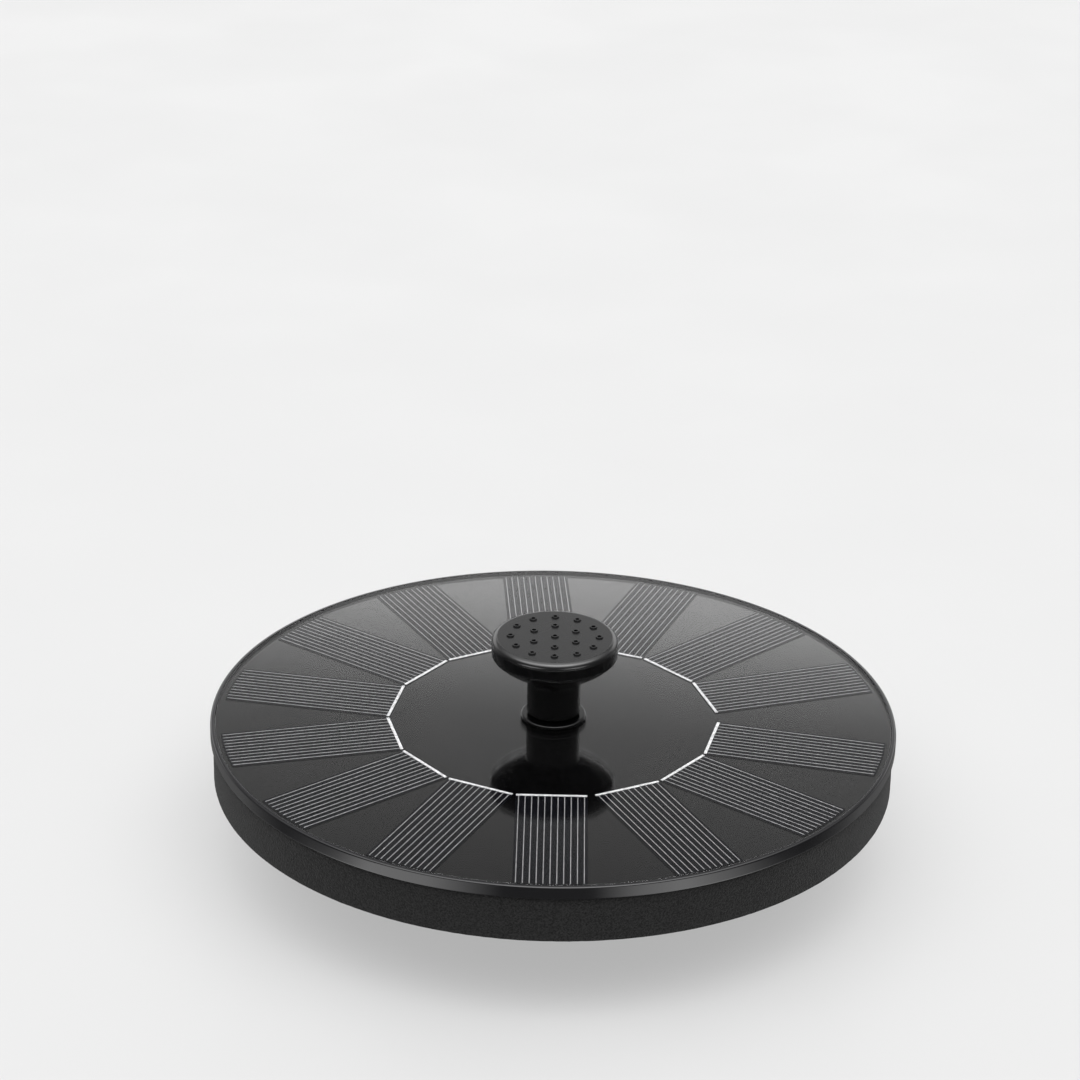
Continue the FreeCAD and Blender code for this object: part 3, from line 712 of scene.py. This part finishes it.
# the photograph's view: metres and degrees
CAMERA_LENS = 121.05
CAMERA_SENSOR = 36
CAMERA_DISTANCE = 0.8507
CAMERA_LIFT = 27.417
CAMERA_TURNS = (-0.267, 2.757, 1.2)


def floor():
    """A pale sheet under the pump, partly lit by itself and not seen in reflections."""
    bm = bmesh.new()
    bmesh.ops.create_grid(bm, x_segments=40, y_segments=40, size=FLOOR_HALF)
    material = solid(
        "floor_paper",
        (0.2, 0.2, 0.2),
        0.6,
        size=2 * MM,
        vary=0.004,
        Emission_Color=(1, 1, 1, 1),
        Emission_Strength=0.43,
    )
    mesh = new_mesh("floor", bm)
    mesh.materials.append(material)
    obj = bpy.data.objects.new("floor", mesh)
    obj.location.z = PUMP_LOW.z
    obj.visible_glossy = False
    bpy.context.scene.collection.objects.link(obj)


def light(name, place, target, width, height, power):
    """An area light at a place, turned to its target."""
    data = bpy.data.lights.new(name, "AREA")
    data.shape = "RECTANGLE"
    data.size, data.size_y = width, height
    data.energy = power
    obj = bpy.data.objects.new(name, data)
    obj.location = place
    obj.rotation_mode = "QUATERNION"
    obj.rotation_quaternion = (Vector(target) - Vector(place)).to_track_quat("-Z", "Y")
    bpy.context.scene.collection.objects.link(obj)


def levels(tree, factor, stops, start=0.0, end=1.0):
    """A grey level that follows the factor through (place, level) stops."""
    ramp = tree.nodes.new("ShaderNodeValToRGB")
    elements = ramp.color_ramp.elements
    for k, (place, level) in enumerate(stops):
        element = elements[k] if k < 2 else elements.new(1.0)
        element.position = (place - start) / (end - start)
        element.color = (level, level, level, 1)
    tree.links.new(between(tree, factor, 0.0, 1.0, start, end), ramp.inputs["Fac"])
    return ramp.outputs["Color"]


def blended(tree, factor, first, second):
    """The first colour where the factor is 0, and the second where it is 1."""
    mix = tree.nodes.new("ShaderNodeMix")
    mix.data_type = "RGBA"
    tree.links.new(factor, mix.inputs["Factor"])
    tree.links.new(first, mix.inputs["A"])
    tree.links.new(second, mix.inputs["B"])
    return mix.outputs["Result"]


def sky():
    """The studio's surround: a soft dome, a backdrop behind and cards below the horizon."""
    world = bpy.data.worlds.new("studio")
    bpy.context.scene.world = world
    world.use_nodes = True
    tree = world.node_tree
    background = tree.nodes["Background"]
    place = tree.nodes.new("ShaderNodeTexCoord")
    parts = tree.nodes.new("ShaderNodeSeparateXYZ")
    tree.links.new(place.outputs["Generated"], parts.inputs[0])
    x, y, z = (parts.outputs[axis] for axis in "XYZ")
    front = levels(tree, z, FRONT_DOME)
    side = levels(tree, z, SIDE_DOME)
    dome = blended(tree, between(tree, y, 0.0, 1.0, -0.2, 0.2), front, side)
    lean = tree.nodes.new("ShaderNodeMath")
    lean.operation = "MULTIPLY_ADD"
    lean.inputs[1].default_value = BACKDROP_LEAN
    tree.links.new(x, lean.inputs[0])
    tree.links.new(z, lean.inputs[2])
    backdrop = levels(tree, lean.outputs[0], BACKDROP)
    upper = blended(tree, between(tree, y, 0.0, 1.0, 0.45, 0.75), dome, backdrop)
    cards = levels(tree, x, LOW_CARDS, -1.0, 1.0)
    rear = levels(tree, y, LOW_REAR)
    lower = blended(tree, between(tree, y, 0.0, 1.0, -0.05, 0.15), cards, rear)
    both = blended(tree, between(tree, z, 0.0, 1.0, -0.05, 0.05), lower, upper)
    tree.links.new(both, background.inputs["Color"])
    background.inputs["Strength"].default_value = SKY_STRENGTH


def camera():
    """A long lens above the front of the disc, turned by its yaw, pitch and roll."""
    data = bpy.data.cameras.new("camera")
    data.sensor_width = CAMERA_SENSOR
    data.lens = CAMERA_LENS
    lift = math.radians(CAMERA_LIFT)
    aim = Vector((0, 0, PANEL_Z))
    back = Vector((0, -math.cos(lift), math.sin(lift)))
    forward, right = -back, Vector((1, 0, 0))
    up = right.cross(forward)
    yaw, pitch, roll = (math.radians(a) for a in CAMERA_TURNS)
    forward, right = (
        math.cos(yaw) * forward + math.sin(yaw) * right,
        math.cos(yaw) * right - math.sin(yaw) * forward,
    )
    forward, up = (
        math.cos(pitch) * forward + math.sin(pitch) * up,
        math.cos(pitch) * up - math.sin(pitch) * forward,
    )
    right, up = (
        math.cos(roll) * right + math.sin(roll) * up,
        math.cos(roll) * up - math.sin(roll) * right,
    )
    turn = Matrix((right, up, -forward)).transposed().to_4x4()
    obj = bpy.data.objects.new("camera", data)
    obj.matrix_world = Matrix.Translation(aim + back * CAMERA_DISTANCE) @ turn
    bpy.context.scene.collection.objects.link(obj)
    bpy.context.scene.camera = obj


def studio():
    floor()
    sky()
    light("key", KEY_PLACE, (0, 0, PANEL_Z), *KEY_SIZE, KEY_POWER)
    camera()


def main():
    """Builds every piece, then the studio round it."""
    bpy.context.scene.view_settings.view_transform = "Standard"
    materials = make_materials()
    finish_cad_nodes(materials)
    tray_shell(materials["tray_plastic"])
    board_disc(materials["board_laminate"])
    clear_pane(materials["clear_cover"])
    solar_cells(materials["solar_cell"])
    finger_lines(materials["finger_silver"])
    foam_float(materials["float_foam"])
    collar(materials["head_plastic"])
    nozzle_shell(materials["head_plastic"])
    spray_top(materials["plate_plastic"], materials["plate_edge"])
    studio()


main()
